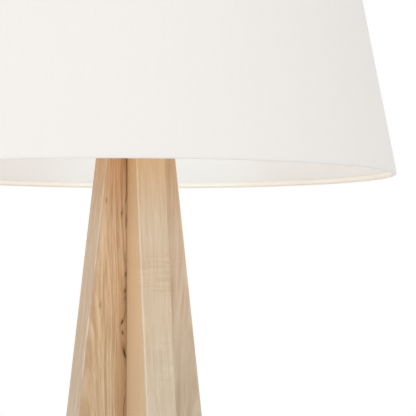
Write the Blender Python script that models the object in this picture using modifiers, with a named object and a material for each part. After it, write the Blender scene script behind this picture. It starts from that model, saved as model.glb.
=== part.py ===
"""Floor lamp: four tapered wooden legs around a square post, with a turn-knob
lamp holder, a bulb, a harp and an empire shade.

Metres, +Z up. The origin is on the floor, on the lamp's axis. The legs lie along
-Y (front), +X (right), +Y (back) and -X (left). The harp stands in the XZ plane and
the switch knob points along -Y.
"""

import math

import bmesh
import bpy
from mathutils import Matrix, Vector
from mathutils.geometry import interpolate_bezier

# Driving dimensions
GAP = 0.0003                        # left between pieces that touch

SHADE_RADIUS = 0.250                # outside, at the lower edge
SHADE_HEIGHT = 0.300
SHADE_SLOPE = math.tan(math.radians(11.0))
RIM_Z = 1.200                       # lower edge of the shade, above the floor
FABRIC = 0.0005
LINER = 0.0010
RING_WIRE = 0.0011                  # radius of the wire in both edges
HEM = 0.0058                        # height of cloth turned in at each edge
HEM_LEAN = 0.0048                   # where the turned-in cloth meets the liner
WASHER_HEIGHT = 0.0016              # middle of the shade's fitter
SHADE_SEGMENTS = 48

WOOD_TOP = 1.245
LEG_THICKNESS = 0.030
LEG_REACH_AT_RIM = 0.0376           # axis to the leg's outer edge, level with the rim
LEG_FLARE = 0.118                   # reach gained for each metre further down
LEG_EDGE = 0.0015                   # rounding of the long edges
CROTCH_Z = 0.700                    # below this height the legs part
FOOT_WIDTH = 0.060
DOWEL_RADIUS = 0.0040
DOWEL_START = 0.0075                # inner end of each dowel, from the axis
DOWEL_SHARE = 0.6                   # of a leg's width, how far in each dowel reaches
DOWEL_HEIGHTS = {"low": 0.82, "high": 1.13}
PAD_HEIGHT = 0.0040
PAD_MARGIN = 0.0045                 # pad edge in from the foot's edges
PAD_WIDTH = 0.024

PIPE_RADIUS = 0.0050
PIPE_BORE = 0.0033
PIPE_BOTTOM = 0.6720
PIPE_TOP = 1.2625
NUT_FLATS = 0.0140

PLATE_RADIUS = 0.0290
PLATE_HEIGHT = 0.0020
SCREW_REACH = 0.0225                # axis to each plate screw
SCREW_LENGTH = 0.0190

SADDLE_HALF_SPAN = 0.0275
SADDLE_STRIP = 0.0015
SADDLE_WIDTH = 0.0140
SADDLE_RISE = 0.0105
PEG_RADIUS = 0.0016
HARP_WIRE = 0.0016
HARP_HALF_WIDTH = 0.0570
SLEEVE_HEIGHT = 0.0150

SHAFT_RADIUS = 0.0016
SHAFT_RISE = 0.0253                 # switch shaft above the lamp holder's foot

LEG_ANGLES = {
    "right": 0.0,
    "back": math.pi / 2,
    "left": math.pi,
    "front": -math.pi / 2,
}

# Heights that follow, from the wood upwards
LEG_INNER = LEG_THICKNESS / 2 + GAP
FOOT_Z = PAD_HEIGHT + GAP
PLATE_TOP = WOOD_TOP + GAP + PLATE_HEIGHT
TOP_NUT_Z = PLATE_TOP + GAP
TOP_NUT_HEIGHT = 0.0040
SADDLE_Z = TOP_NUT_Z + TOP_NUT_HEIGHT + GAP
SADDLE_TOP = SADDLE_Z + SADDLE_RISE
SOCKET_Z = SADDLE_Z + SADDLE_STRIP + GAP
SADDLE_ARM_X = SADDLE_HALF_SPAN - SADDLE_STRIP / 2
PEG_TOP = SADDLE_TOP + 0.0080
SHADE_TOP = RIM_Z + SHADE_HEIGHT
HARP_TOP = SHADE_TOP - 0.0160       # centre of the harp's seat


def remove_everything():
    for old in list(bpy.data.objects):
        bpy.data.objects.remove(old, do_unlink=True)


def new_collection(name):
    collection = bpy.data.collections.new(name)
    bpy.context.scene.collection.children.link(collection)
    return collection


remove_everything()
LAMP = new_collection("floor_lamp")
CUTTERS = new_collection("cutters")


def new_material(name, colour, roughness, metallic=0.0):
    material = bpy.data.materials.new(name)
    material.use_nodes = True
    shader = material.node_tree.nodes["Principled BSDF"]
    shader.inputs["Base Color"].default_value = (*colour, 1.0)
    shader.inputs["Roughness"].default_value = roughness
    shader.inputs["Metallic"].default_value = metallic
    material.diffuse_color = (*colour, 1.0)
    return material


WOOD = new_material("light_wood", (0.60, 0.38, 0.20), 0.45)
CORE_WOOD = new_material("core_wood", (0.55, 0.36, 0.20), 0.60)
DOWEL_WOOD = new_material("dowel_wood", (0.66, 0.50, 0.32), 0.65)
FELT = new_material("felt", (0.20, 0.17, 0.14), 0.95)
STEEL = new_material("zinc_steel", (0.62, 0.62, 0.60), 0.35, 1.0)
NICKEL = new_material("satin_nickel", (0.66, 0.63, 0.58), 0.30, 1.0)
BRASS = new_material("brass", (0.72, 0.53, 0.25), 0.30, 1.0)
ALUMINIUM = new_material("aluminium", (0.78, 0.78, 0.78), 0.35, 1.0)
PHENOLIC = new_material("phenolic", (0.03, 0.025, 0.02), 0.45)
FIBRE = new_material("fibre_board", (0.42, 0.32, 0.20), 0.85)
BLACK_PLASTIC = new_material("black_plastic", (0.02, 0.02, 0.02), 0.40)
BLACK_GLASS = new_material("black_glass", (0.02, 0.02, 0.03), 0.15)
SOLDER = new_material("solder", (0.60, 0.60, 0.58), 0.30, 1.0)
FROSTED = new_material("frosted_glass", (0.92, 0.92, 0.90), 0.35)
CLOTH = new_material("white_cloth", (0.88, 0.86, 0.83), 0.90)
STYRENE = new_material("white_styrene", (0.90, 0.88, 0.85), 0.55)
WHITE_WIRE = new_material("white_wire", (0.85, 0.84, 0.82), 0.45)


# ---- making objects -------------------------------------------------------

def add_object(name, data, material, collection=None):
    thing = bpy.data.objects.new(name, data)
    (collection or LAMP).objects.link(thing)
    if material:
        data.materials.append(material)
    return thing


def as_cutter(thing):
    thing.hide_render = True
    thing.display_type = "WIRE"
    return thing


def shade_smooth(mesh, angle=35.0):
    mesh.shade_smooth()
    mesh.set_sharp_from_angle(angle=math.radians(angle))


def mesh_of(bm, name, smooth=True):
    mesh = bpy.data.meshes.new(name)
    bm.to_mesh(mesh)
    bm.free()
    if smooth:
        shade_smooth(mesh)
    return mesh


def rod_matrix(start, end):
    """Takes a primitive along Z, centred on the origin, to lie from start to end."""
    start = Vector(start)
    end = Vector(end)
    turn = (end - start).to_track_quat("Z", "Y").to_matrix().to_4x4()
    return Matrix.Translation((start + end) / 2) @ turn


def add_rod(bm, start, end, radius, segments):
    length = (Vector(end) - Vector(start)).length
    bmesh.ops.create_cone(bm, cap_ends=True, segments=segments, radius1=radius, radius2=radius,
                          depth=length, matrix=rod_matrix(start, end))


def add_box(bm, low, high):
    low = Vector(low)
    high = Vector(high)
    size = Matrix.Diagonal((*(high - low), 1.0))
    bmesh.ops.create_cube(bm, size=1.0, matrix=Matrix.Translation((low + high) / 2) @ size)


def rod(name, start, end, radius, material, segments):
    bm = bmesh.new()
    add_rod(bm, start, end, radius, segments)
    return add_object(name, mesh_of(bm, name), material)


def box(name, low, high, material, edge=0.0):
    bm = bmesh.new()
    add_box(bm, low, high)
    thing = add_object(name, mesh_of(bm, name, smooth=False), material)
    if edge:
        bevel = thing.modifiers.new("edges", "BEVEL")
        bevel.width = edge
        bevel.segments = 1
    return thing


def rods_cutter(name, rods, segments):
    """One cutter of separate cylinders; rods holds (start, end, radius) for each."""
    bm = bmesh.new()
    for start, end, radius in rods:
        add_rod(bm, start, end, radius, segments)
    return as_cutter(add_object(name, mesh_of(bm, name), None, CUTTERS))


def boxes_cutter(name, boxes):
    bm = bmesh.new()
    for low, high in boxes:
        add_box(bm, low, high)
    return as_cutter(add_object(name, mesh_of(bm, name, smooth=False), None, CUTTERS))


def combine(thing, other, operation):
    boolean = thing.modifiers.new(operation.lower(), "BOOLEAN")
    boolean.operation = operation
    boolean.solver = "EXACT"
    boolean.object = other


def cut(thing, *cutters):
    for cutter in cutters:
        combine(thing, cutter, "DIFFERENCE")


def evaluated_mesh(thing, name):
    bpy.context.view_layer.update()
    graph = bpy.context.evaluated_depsgraph_get()
    mesh = bpy.data.meshes.new_from_object(thing.evaluated_get(graph), depsgraph=graph)
    mesh.name = name
    return mesh


def join_up(name, things, material):
    """Unites overlapping objects into one solid called name and removes them."""
    first, *others = things
    for other in others:
        combine(first, other, "UNION")
    mesh = evaluated_mesh(first, name)
    mesh.transform(first.matrix_world)
    mesh.materials.clear()
    shade_smooth(mesh)
    for thing in things:
        bpy.data.objects.remove(thing, do_unlink=True)
    return add_object(name, mesh, material)


def spin(thing, segments):
    """Turns the mesh's profile about Z."""
    screw = thing.modifiers.new("turn", "SCREW")
    screw.axis = "Z"
    screw.angle = math.tau
    screw.steps = segments
    screw.render_steps = segments
    screw.use_merge_vertices = True
    screw.merge_threshold = 0.00001
    screw.use_smooth_shade = True


def profile_mesh(name, profile, closed):
    bm = bmesh.new()
    verts = [bm.verts.new((radius, 0.0, z)) for radius, z in profile]
    for first, second in zip(verts, verts[1:]):
        bm.edges.new((first, second))
    if closed:
        bm.edges.new((verts[-1], verts[0]))
    return mesh_of(bm, name, smooth=False)


def turned(name, profile, material, segments=24, ring=False):
    """A turned solid. The profile holds (radius, z) from the top, down the outside. It
    starts and ends on the axis, or it is the closed outline of a ring."""
    thing = add_object(name, profile_mesh(name, profile, ring), material)
    spin(thing, segments)
    return thing


def turned_shell(name, profile, thickness, material, segments, offset=0.0):
    """A turned sheet: the profile is an open line that Solidify thickens."""
    thing = add_object(name, profile_mesh(name, profile, False), material)
    spin(thing, segments)
    solid = thing.modifiers.new("thickness", "SOLIDIFY")
    solid.thickness = thickness
    solid.offset = offset
    solid.use_even_offset = True
    return thing


def tube_profile(inner, outer, low, high, edge=0.0):
    """The outline of a plain ring, with its four edges chamfered."""
    if not edge:
        return [(outer, high), (outer, low), (inner, low), (inner, high)]
    return [
        (outer - edge, high), (outer, high - edge), (outer, low + edge), (outer - edge, low),
        (inner + edge, low), (inner, low + edge), (inner, high - edge), (inner + edge, high),
    ]


def weld_curve(thing, name):
    """Makes a curve object a closed mesh and removes the curve."""
    mesh = evaluated_mesh(thing, name)
    bm = bmesh.new()
    bm.from_mesh(mesh)
    bmesh.ops.remove_doubles(bm, verts=bm.verts, dist=0.00001)
    bm.to_mesh(mesh)
    bm.free()
    material = thing.data.materials[0]
    place = thing.matrix_world.copy()
    bpy.data.objects.remove(thing, do_unlink=True)
    mesh.materials.clear()
    solid = add_object(name, mesh, material)
    solid.matrix_world = place
    return solid


def plate(name, outline, thickness, material):
    """A flat piece: outline in local XY, thickness centred on local Z."""
    curve = bpy.data.curves.new(name, "CURVE")
    curve.dimensions = "2D"
    curve.fill_mode = "BOTH"
    curve.extrude = thickness / 2
    spline = curve.splines.new("POLY")
    spline.points.add(len(outline) - 1)
    for point, (x, y) in zip(spline.points, outline):
        point.co = (x, y, 0.0, 1.0)
    spline.use_cyclic_u = True
    return weld_curve(add_object(name, curve, material), name)


def wire(name, path, radius, material, cyclic=False, end_scale=1.0, resolution=2):
    """A round wire along path, as a closed mesh. end_scale thins its last point."""
    curve = bpy.data.curves.new(name, "CURVE")
    curve.dimensions = "3D"
    curve.bevel_depth = radius
    curve.bevel_resolution = resolution
    curve.use_fill_caps = not cyclic
    spline = curve.splines.new("POLY")
    spline.points.add(len(path) - 1)
    for point, place in zip(spline.points, path):
        point.co = (*place, 1.0)
    spline.points[-1].radius = end_scale
    spline.use_cyclic_u = cyclic
    solid = weld_curve(add_object(name, curve, material), name)
    shade_smooth(solid.data, 60.0)
    return solid


def around(angle, reach, z):
    return (reach * math.cos(angle), reach * math.sin(angle), z)


# ---- wooden base ----------------------------------------------------------

def leg_reach(z):
    return LEG_REACH_AT_RIM + LEG_FLARE * (RIM_Z - z)


def round_leg_edges(mesh):
    """Rounds every edge except those that lie against the post."""
    bm = bmesh.new()
    bm.from_mesh(mesh)
    bmesh.ops.dissolve_limit(bm, angle_limit=math.radians(1), verts=bm.verts, edges=bm.edges)
    tolerance = 0.0001
    free = [edge for edge in bm.edges if max(v.co.x for v in edge.verts) > LEG_INNER + tolerance]
    bmesh.ops.bevel(bm, geom=free, offset=LEG_EDGE, segments=2, profile=0.5, affect="EDGES")
    bm.to_mesh(mesh)
    bm.free()
    shade_smooth(mesh, 50.0)


def make_legs(dowel_holes, screw_holes):
    outline = [
        (LEG_INNER, WOOD_TOP),
        (leg_reach(WOOD_TOP), WOOD_TOP),
        (leg_reach(FOOT_Z), FOOT_Z),
        (leg_reach(FOOT_Z) - FOOT_WIDTH, FOOT_Z),
        (LEG_INNER, CROTCH_Z),
    ]
    pattern = plate("leg_pattern", outline, LEG_THICKNESS, WOOD)
    round_leg_edges(pattern.data)
    stand_up = Matrix.Rotation(math.pi / 2, 4, "X")
    for side, angle in LEG_ANGLES.items():
        leg = add_object("leg_" + side, pattern.data.copy(), None)
        leg.matrix_world = Matrix.Rotation(angle, 4, "Z") @ stand_up
        cut(leg, dowel_holes, screw_holes[side])
    bpy.data.objects.remove(pattern, do_unlink=True)


def make_foot_pads():
    outer = leg_reach(FOOT_Z) - PAD_MARGIN
    inner = leg_reach(FOOT_Z) - FOOT_WIDTH + PAD_MARGIN
    for side, angle in LEG_ANGLES.items():
        pad = box("foot_pad_" + side, (inner, -PAD_WIDTH / 2, 0.0),
                  (outer, PAD_WIDTH / 2, PAD_HEIGHT), FELT, edge=0.0006)
        pad.rotation_euler.z = angle


def dowel_rods(grow):
    """Start, end and radius of each dowel by name, made larger by grow."""
    rods = {}
    for level, z in DOWEL_HEIGHTS.items():
        tip = LEG_INNER + DOWEL_SHARE * (leg_reach(z) - LEG_INNER)
        for side, angle in LEG_ANGLES.items():
            start = around(angle, DOWEL_START - grow, z)
            end = around(angle, tip + grow, z)
            rods[f"leg_dowel_{side}_{level}"] = (start, end, DOWEL_RADIUS + grow)
    return rods


def make_dowels():
    for name, (start, end, radius) in dowel_rods(0.0).items():
        rod(name, start, end, radius, DOWEL_WOOD, 12)


def make_post(dowel_holes):
    half = LEG_THICKNESS / 2
    post = box("centre_post", (-half, -half, CROTCH_Z), (half, half, WOOD_TOP), CORE_WOOD)
    pipe_hole = rods_cutter("pipe_hole", [((0, 0, CROTCH_Z - 0.01), (0, 0, WOOD_TOP + 0.01),
                                           PIPE_RADIUS + GAP)], 16)
    cut(post, pipe_hole, dowel_holes)


# ---- pipe and what is on it -------------------------------------------------

def hex_nut(name, low, height):
    bm = bmesh.new()
    corner_radius = NUT_FLATS / 2 / math.cos(math.pi / 6)
    add_rod(bm, (0, 0, low), (0, 0, low + height), corner_radius, 6)
    nut = add_object(name, mesh_of(bm, name, smooth=False), STEEL)
    hole = rods_cutter(name + "_hole", [((0, 0, low - 0.01), (0, 0, low + height + 0.01),
                                         PIPE_RADIUS + GAP)], 16)
    cut(nut, hole)


def make_pipe():
    turned("lamp_pipe", tube_profile(PIPE_BORE, PIPE_RADIUS, PIPE_BOTTOM, PIPE_TOP, 0.0004),
           STEEL, 16, ring=True)
    washer_height = 0.0015
    washer_radius = 0.0125
    washer_low = CROTCH_Z - GAP - washer_height
    turned("bottom_washer",
           tube_profile(PIPE_RADIUS + GAP, washer_radius, washer_low, CROTCH_Z - GAP),
           STEEL, 20, ring=True)
    nut_height = 0.0050
    hex_nut("bottom_nut", washer_low - GAP - nut_height, nut_height)
    make_bushing()
    hex_nut("top_nut", TOP_NUT_Z, TOP_NUT_HEIGHT)


def make_bushing():
    """A collar on the pipe's lower end, with a rounded mouth for the cord."""
    top = PIPE_BOTTOM + 0.0120
    mouth = PIPE_BOTTOM - 0.0080
    grip = PIPE_RADIUS + GAP
    throat = 0.0032
    outline = [
        (0.0075, top), (0.0078, PIPE_BOTTOM + 0.0010), (0.0088, PIPE_BOTTOM - 0.0010),
        (0.0090, mouth + 0.0030), (0.0082, mouth + 0.0010), (0.0062, mouth),
        (0.0042, mouth + 0.0010), (throat, mouth + 0.0030), (throat, PIPE_BOTTOM - GAP),
        (grip, PIPE_BOTTOM - GAP), (grip, top),
    ]
    turned("cord_bushing", outline, BLACK_PLASTIC, 16, ring=True)


def plate_screw_profile(grow, above):
    """Countersunk screw, its head's top at height above over the plate."""
    head = 0.0032 + grow
    shank = 0.0015 + grow
    return [
        (0.0, above), (head, above), (head, -0.0002), (shank, -0.0019),
        (shank, -SCREW_LENGTH - grow), (0.0, -SCREW_LENGTH - grow),
    ]


def make_screws():
    for side, angle in LEG_ANGLES.items():
        screw = turned("plate_screw_" + side, plate_screw_profile(0.0, 0.0), STEEL, 12)
        screw.location = around(angle, SCREW_REACH, PLATE_TOP)


def screw_hole_cutters():
    """One cutter for each side's screw, by the side's name."""
    holes = {}
    for side, angle in LEG_ANGLES.items():
        hole = turned("screw_hole_" + side, plate_screw_profile(GAP, 0.001), STEEL, 12)
        hole.location = around(angle, SCREW_REACH, PLATE_TOP)
        LAMP.objects.unlink(hole)
        CUTTERS.objects.link(hole)
        holes[side] = as_cutter(hole)
    return holes


def make_top_plate(screw_holes):
    edge = 0.0004
    hole = PIPE_RADIUS + GAP
    top_plate = turned("top_plate", [
        (PLATE_RADIUS - edge, PLATE_TOP), (PLATE_RADIUS, PLATE_TOP - edge),
        (PLATE_RADIUS, WOOD_TOP + GAP), (hole, WOOD_TOP + GAP), (hole, PLATE_TOP),
    ], NICKEL, 28, ring=True)
    cut(top_plate, *screw_holes.values())


# ---- lamp holder ------------------------------------------------------------

def above_socket_foot(profile):
    return [(radius, SOCKET_Z + z) for radius, z in profile]


def radial_turned(name, profile, material, segments, z, towards_back=False):
    """A turned solid whose axis lies along Y, pointing to the front or the back."""
    thing = turned(name, profile, material, segments)
    thing.location.z = z
    thing.rotation_euler.x = -math.pi / 2 if towards_back else math.pi / 2
    return thing


def make_socket_cap():
    hub_bore = PIPE_RADIUS + GAP
    set_screw_z = SOCKET_Z + 0.0040
    cap = turned("socket_cap", above_socket_foot([
        (0.0174, 0.0203), (0.0174, 0.0150), (0.0160, 0.0118), (0.0115, 0.0088), (0.0085, 0.0075),
        (0.0080, 0.0000), (hub_bore, 0.0000), (hub_bore, 0.0100), (0.0098, 0.0104),
        (0.0148, 0.0134), (0.0166, 0.0163), (0.0166, 0.0203),
    ]), BRASS, 20, ring=True)
    hole = rods_cutter("set_screw_hole", [((0, 0.0040, set_screw_z), (0, 0.0120, set_screw_z),
                                           0.0014 + GAP)], 10)
    cut(cap, hole)
    radial_turned("cap_set_screw", [
        (0.0, 0.0098), (0.0014, 0.0098), (0.0014, 0.0060), (0.0, 0.0054),
    ], STEEL, 10, set_screw_z, towards_back=True)


def make_socket(shaft_z):
    shaft_hole = rods_cutter("shaft_hole", [((0, -0.0052, shaft_z), (0, -0.0250, shaft_z),
                                             SHAFT_RADIUS + GAP)], 12)
    window = rods_cutter("shaft_window", [((0, -0.0120, shaft_z), (0, -0.0250, shaft_z),
                                           0.0030)], 12)
    shell = turned("socket_shell", above_socket_foot([
        (0.0168, 0.0643), (0.0168, 0.0628), (0.0163, 0.0618), (0.0163, 0.0166),
        (0.0157, 0.0166), (0.0157, 0.0643),
    ]), BRASS, 20, ring=True)
    cut(shell, window)
    insulator = turned("socket_insulator", above_socket_foot(
        tube_profile(0.0147, 0.0154, 0.0172, 0.0628)), FIBRE, 20, ring=True)
    cut(insulator, window)
    make_socket_body(shaft_hole)
    turned("screw_shell", above_socket_foot([
        (0.0139, 0.0625), (0.0139, 0.0376), (0.0060, 0.0376), (0.0060, 0.0382),
        (0.0133, 0.0382), (0.0133, 0.0625),
    ]), ALUMINIUM, 20, ring=True)
    turned("centre_contact", above_socket_foot([
        (0.0, 0.0401), (0.0025, 0.0398), (0.0040, 0.0388), (0.0040, 0.0376), (0.0, 0.0376),
    ]), BRASS, 12)


def make_socket_body(shaft_hole):
    """The moulded inside, with a pocket at each side for a terminal screw."""
    low = SOCKET_Z + 0.0183
    high = SOCKET_Z + 0.0373
    screw_z = SOCKET_Z + 0.0280
    body = turned("socket_body", [(0.0, high), (0.0144, high), (0.0144, low), (0.0, low)],
                  PHENOLIC, 20)
    floor_x = 0.0105
    pockets = []
    holes = []
    for side, name in ((-1, "left"), (1, "right")):
        near, far = sorted((side * floor_x, side * 0.0200))
        pockets.append(((near, -0.0052, screw_z - 0.0052), (far, 0.0052, screw_z + 0.0052)))
        holes.append(((side * 0.0067, 0, screw_z), (side * 0.0120, 0, screw_z), 0.0017))
        screw = turned("terminal_screw_" + name, [
            (0.0, 0.0130), (0.0026, 0.0130), (0.0032, 0.0124), (0.0032, floor_x + GAP),
            (0.0014, floor_x + GAP), (0.0014, 0.0070), (0.0, 0.0070),
        ], BRASS, 12)
        screw.location.z = screw_z
        screw.rotation_euler.y = side * math.pi / 2
    cut(body, boxes_cutter("terminal_pockets", pockets), rods_cutter("terminal_holes", holes, 12),
        shaft_hole)


def make_switch(shaft_z):
    radial_turned("switch_shaft", [
        (0.0, 0.0335), (SHAFT_RADIUS, 0.0335), (SHAFT_RADIUS, 0.0055), (0.0, 0.0055),
    ], BRASS, 12, shaft_z)
    hub = turned("hub", [
        (0.0, 0.0365), (0.0040, 0.0365), (0.0050, 0.0355), (0.0054, 0.0225), (0.0, 0.0225),
    ], BLACK_PLASTIC, 20)
    paddle = box("paddle", (-0.0085, -0.0021, 0.0260), (0.0085, 0.0021, 0.0385), BLACK_PLASTIC,
                 edge=0.0010)
    knob = join_up("switch_knob", [hub, paddle], BLACK_PLASTIC)
    knob.location.z = shaft_z
    knob.rotation_euler.x = math.pi / 2
    bore = rods_cutter("knob_bore", [((0, -0.0150, shaft_z), (0, -0.0338, shaft_z),
                                      SHAFT_RADIUS + GAP)], 12)
    cut(knob, bore)


# ---- bulb -------------------------------------------------------------------

def make_bulb():
    tip_z = SOCKET_Z + 0.0405
    crown = 0.1100
    globe = 0.0300
    neck = 0.0110
    thread_low = 0.0048
    thread_high = 0.0250

    contact = turned("bulb_contact", [
        (0.0, 0.0016), (0.0042, 0.0016), (0.0045, 0.0010), (0.0030, 0.0002), (0.0, 0.0),
    ], SOLDER, 12)
    insulator = turned("bulb_insulator", [
        (0.0, 0.0045), (0.0118, 0.0045), (0.0112, 0.0036), (0.0048, 0.0019), (0.0, 0.0019),
    ], BLACK_GLASS, 20)

    outside = [(0.0134, 0.0288), (0.0130, 0.0272)]
    ridges = 4
    pitch = (thread_high - thread_low) / ridges
    for ridge in range(ridges):
        top = thread_high - pitch * ridge
        outside += [(0.0120, top), (0.0127, top - pitch / 2)]
    outside += [(0.0118, thread_low)]
    base = turned("bulb_base", outside + [(neck + GAP, thread_low), (neck + GAP, 0.0288)],
                  ALUMINIUM, 20, ring=True)

    centre = crown - globe
    line = [(0.0, crown)]
    for degrees in range(70, -31, -20):
        turn = math.radians(degrees)
        line.append((globe * math.cos(turn), centre + globe * math.sin(turn)))
    last = Vector(line[-1])
    inwards = Vector((math.sin(turn), -math.cos(turn)))
    collar = Vector((neck, 0.0300))
    above = collar + Vector((0.0, 0.0100))
    sweep = interpolate_bezier(last, last + inwards * 0.0100, above, collar, 5)
    line += [(point.x, point.y) for point in sweep[1:]]
    line.append((neck, 0.0200))
    glass = turned_shell("bulb_glass", line, 0.0008, FROSTED, 20, offset=-1.0)

    for piece in (contact, insulator, base, glass):
        piece.location.z = tip_z


# ---- harp -------------------------------------------------------------------

def saddle_outline():
    """A shallow U with rounded bends, in local XY: x across, y up."""
    bend = 0.0030
    steps = 3
    half = SADDLE_HALF_SPAN
    outer = [(half, SADDLE_TOP)]
    inner = [(half - SADDLE_STRIP, SADDLE_TOP)]
    for step in range(steps + 1):
        turn = math.pi / 2 * step / steps
        across = half - bend + bend * math.cos(turn)
        outer.append((across, SADDLE_Z + bend - bend * math.sin(turn)))
        small = bend - SADDLE_STRIP
        across = half - bend + small * math.cos(turn)
        inner.append((across, SADDLE_Z + bend - small * math.sin(turn)))
    mirrored_outer = [(-x, y) for x, y in reversed(outer)]
    mirrored_inner = [(-x, y) for x, y in inner]
    return outer + mirrored_outer + mirrored_inner + list(reversed(inner))


def make_saddle():
    strip = plate("strip", saddle_outline(), SADDLE_WIDTH, STEEL)
    strip.matrix_world = Matrix.Rotation(math.pi / 2, 4, "X")
    bm = bmesh.new()
    for side in (-1, 1):
        x = side * SADDLE_ARM_X
        add_rod(bm, (x, 0, SADDLE_TOP - 0.0040), (x, 0, PEG_TOP), PEG_RADIUS, 12)
    pegs = add_object("pegs", mesh_of(bm, "pegs"), STEEL)
    saddle = join_up("harp_saddle", [strip, pegs], STEEL)
    hole = rods_cutter("saddle_hole", [((0, 0, SADDLE_Z - 0.01), (0, 0, SADDLE_Z + 0.01),
                                        PIPE_RADIUS + GAP)], 16)
    cut(saddle, hole)


def harp_path():
    """Up one side, over the top and down the other, in the XZ plane."""
    foot = Vector((SADDLE_ARM_X, 0.0, PEG_TOP + GAP))
    straight = Vector((SADDLE_ARM_X, 0.0, PEG_TOP + 0.0220))
    widest = Vector((HARP_HALF_WIDTH, 0.0, SADDLE_Z + 0.1120))
    top = Vector((0.0, 0.0, HARP_TOP))
    up = Vector((0.0, 0.0, 1.0))
    lower = interpolate_bezier(straight, straight + up * 0.032, widest - up * 0.030, widest, 8)
    upper = interpolate_bezier(widest, widest + up * 0.072, top + Vector((0.030, 0.0, 0.0)), top, 11)
    half = [foot] + lower + upper[1:]
    mirrored = [Vector((-point.x, 0.0, point.z)) for point in reversed(half[:-1])]
    return half + mirrored


def make_harp():
    seat_half = 0.0025
    bow = wire("bow", harp_path(), HARP_WIRE, NICKEL)
    seat = turned("seat", [
        (0.0, HARP_TOP + seat_half), (0.0080, HARP_TOP + seat_half),
        (0.0080, HARP_TOP - seat_half), (0.0, HARP_TOP - seat_half),
    ], NICKEL, 16)
    harp = join_up("harp_bow", [bow, seat], NICKEL)
    rivet = 0.0025
    hole = rods_cutter("rivet_hole", [((0, 0, HARP_TOP - 0.01), (0, 0, HARP_TOP + 0.01),
                                       rivet + GAP)], 12)
    cut(harp, hole)
    under = HARP_TOP - seat_half - GAP
    over = HARP_TOP + seat_half + GAP
    thread = 0.0031
    turned("harp_stud", [
        (0.0, over + 0.0140), (thread - 0.0006, over + 0.0140), (thread, over + 0.0134),
        (thread, over + 0.0012), (0.0075, over + 0.0012), (0.0075, over), (rivet, over),
        (rivet, under), (0.0042, under), (0.0036, under - 0.0014), (0.0, under - 0.0014),
    ], BRASS, 16)
    for side, name in ((-1, "left"), (1, "right")):
        sleeve = turned("harp_sleeve_" + name, [
            (0.0031, SLEEVE_HEIGHT), (0.0035, SLEEVE_HEIGHT - 0.0005), (0.0035, 0.0005),
            (0.0031, 0.0), (0.0021, 0.0), (0.0021, SLEEVE_HEIGHT),
        ], BRASS, 12, ring=True)
        sleeve.location = (side * SADDLE_ARM_X, 0.0, SADDLE_TOP + GAP)
    return over + 0.0012 + GAP


def make_finial(low):
    """Screws down over the harp's stud, on to the shade's washer."""
    bore = 0.0034
    depth = 0.0130
    finial = turned("finial", [
        (0.0, 0.0330), (0.0030, 0.0322), (0.0056, 0.0298), (0.0066, 0.0262), (0.0056, 0.0226),
        (0.0036, 0.0204), (0.0034, 0.0188), (0.0056, 0.0176), (0.0064, 0.0160), (0.0056, 0.0144),
        (0.0060, 0.0060), (0.0085, 0.0030), (0.0090, 0.0012), (0.0084, 0.0000),
        (bore, 0.0000), (bore, depth), (0.0, depth),
    ], NICKEL, 20)
    finial.location.z = low


# ---- shade ------------------------------------------------------------------

def shade_radius(z):
    """Outside of the cloth."""
    return SHADE_RADIUS - SHADE_SLOPE * (z - RIM_Z)


LINER_DEPTH = FABRIC + GAP + LINER / 2
WIRE_DEPTH = FABRIC + GAP + LINER + GAP + RING_WIRE
WIRE_INSET = FABRIC + GAP + RING_WIRE


def edge_fold(edge_z, inward):
    """Middle line of the cloth at one edge, from the hem's end, round the wire and out
    to the wall. inward is 1 at the lower edge and -1 at the upper edge. Depths are
    measured in from the outside of the wall, heights from the edge."""
    hem_depth = FABRIC + GAP + LINER + GAP + FABRIC / 2
    fold = RING_WIRE + GAP + FABRIC / 2
    line = [(hem_depth, HEM), (hem_depth, HEM_LEAN)]
    for degrees in (20, -35, -90):
        turn = math.radians(degrees)
        line.append((WIRE_DEPTH + fold * math.cos(turn), WIRE_INSET + fold * math.sin(turn)))
    line.append((FABRIC / 2, FABRIC / 2))
    points = []
    for depth, height in line:
        z = edge_z + inward * height
        points.append((shade_radius(z) - depth, z))
    return points


def make_shade(washer_low):
    ring_z = SHADE_TOP - WIRE_INSET
    arm_angles = [math.pi / 2 + math.tau * arm / 3 for arm in range(3)]

    line = edge_fold(SHADE_TOP, -1) + list(reversed(edge_fold(RIM_Z, 1)))
    fabric = turned_shell("shade_fabric", line, FABRIC, CLOTH, SHADE_SEGMENTS)
    cut(fabric, arm_slits(arm_angles, ring_z))

    liner_line = []
    for z in (SHADE_TOP - FABRIC - GAP, RIM_Z + FABRIC + GAP):
        liner_line.append((shade_radius(z) - LINER_DEPTH, z))
    turned_shell("shade_liner", liner_line, LINER, STYRENE, SHADE_SEGMENTS)

    low_z = RIM_Z + WIRE_INSET
    wire("shade_ring_bottom", ring_path(low_z), RING_WIRE, WHITE_WIRE, cyclic=True, resolution=1)
    make_spider(arm_angles, ring_z, washer_low)


def ring_path(z):
    radius = shade_radius(z) - WIRE_DEPTH
    turns = [math.tau * step / SHADE_SEGMENTS for step in range(SHADE_SEGMENTS)]
    return [around(turn, radius, z) for turn in turns]


def arm_slits(arm_angles, ring_z):
    """The turned-in cloth is slit where each arm of the fitter comes through it."""
    reach = shade_radius(ring_z) - WIRE_DEPTH
    half_width = 0.0020
    bm = bmesh.new()
    add_box(bm, (reach - 0.0100, -half_width, ring_z - 0.0120),
            (reach + 0.0010, half_width, ring_z + 0.0006))
    pattern = mesh_of(bm, "slit", smooth=False)
    bm = bmesh.new()
    for angle in arm_angles:
        copy = pattern.copy()
        copy.transform(Matrix.Rotation(angle, 4, "Z"))
        bm.from_mesh(copy)
    return as_cutter(add_object("arm_slits", mesh_of(bm, "arm_slits", smooth=False), None, CUTTERS))


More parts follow.
